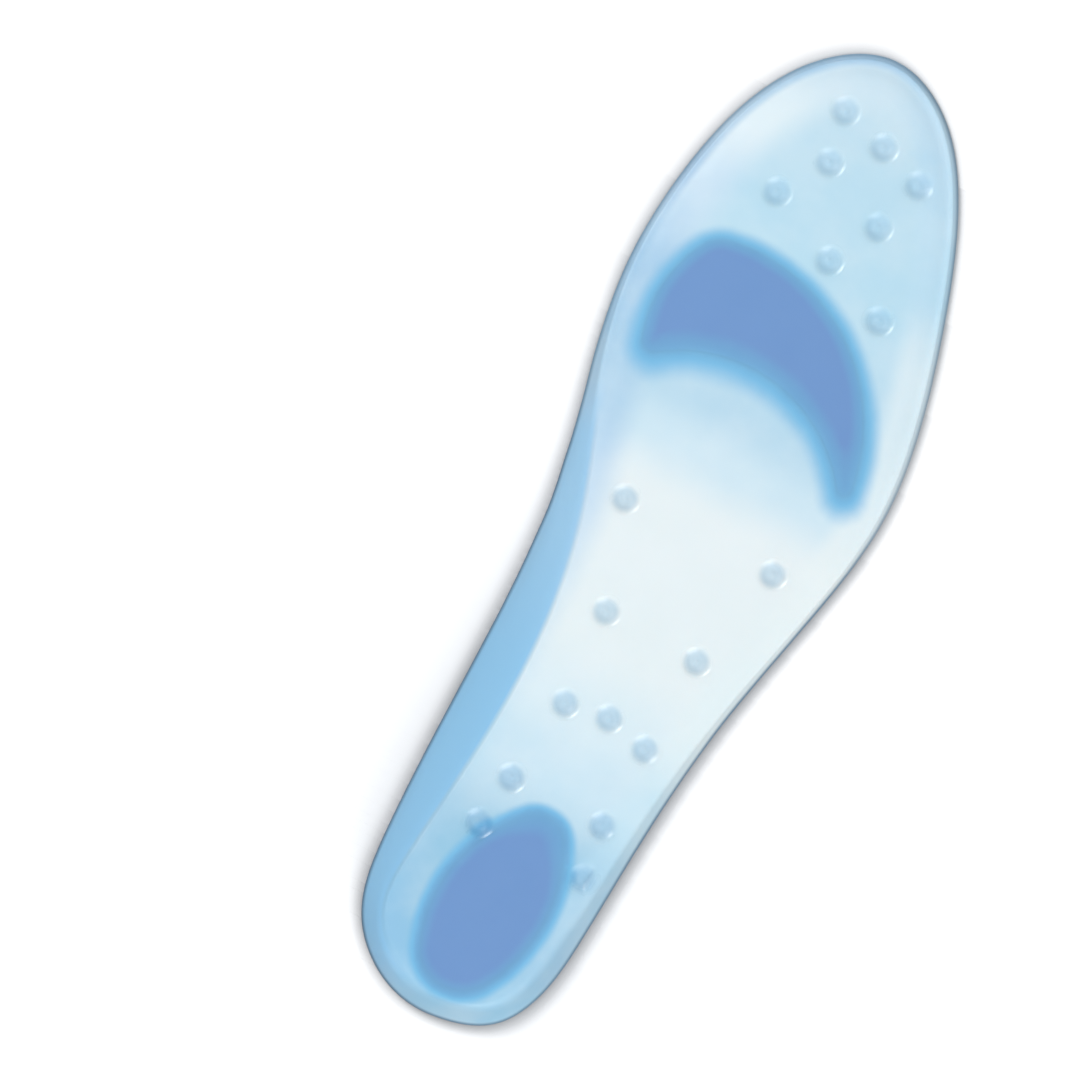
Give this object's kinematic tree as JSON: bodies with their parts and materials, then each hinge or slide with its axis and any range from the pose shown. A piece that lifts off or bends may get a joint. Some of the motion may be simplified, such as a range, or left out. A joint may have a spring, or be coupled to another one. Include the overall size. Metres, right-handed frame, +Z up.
{
  "type": "cushioned insole",
  "caption": "Left-foot gel insole with a raised arch rim, a shallow heel cup, a metatarsal dome, soft ball and heel cushions set in its dimpled sole face, and a cloth cover.",
  "frame": {"origin": "on the plane of the sole face, under the middle of the insole's outline", "axes": "+Y towards the toe, +Z up towards the foot, +X towards the big-toe side"},
  "size_m": [0.0776, 0.2362, 0.0181],
  "materials": {
    "clear_gel": "translucent pale-blue silicone gel, satin and slightly tacky",
    "soft_gel": "softer, deeper-blue silicone gel, satin",
    "cover_cloth": "matt lilac-grey brushed microfibre"
  },
  "bodies": {
    "root": {"gel_body": "clear_gel", "top_cover": "cover_cloth", "ball_cushion": "soft_gel", "heel_cushion": "soft_gel"}
  },
  "joints": []
}
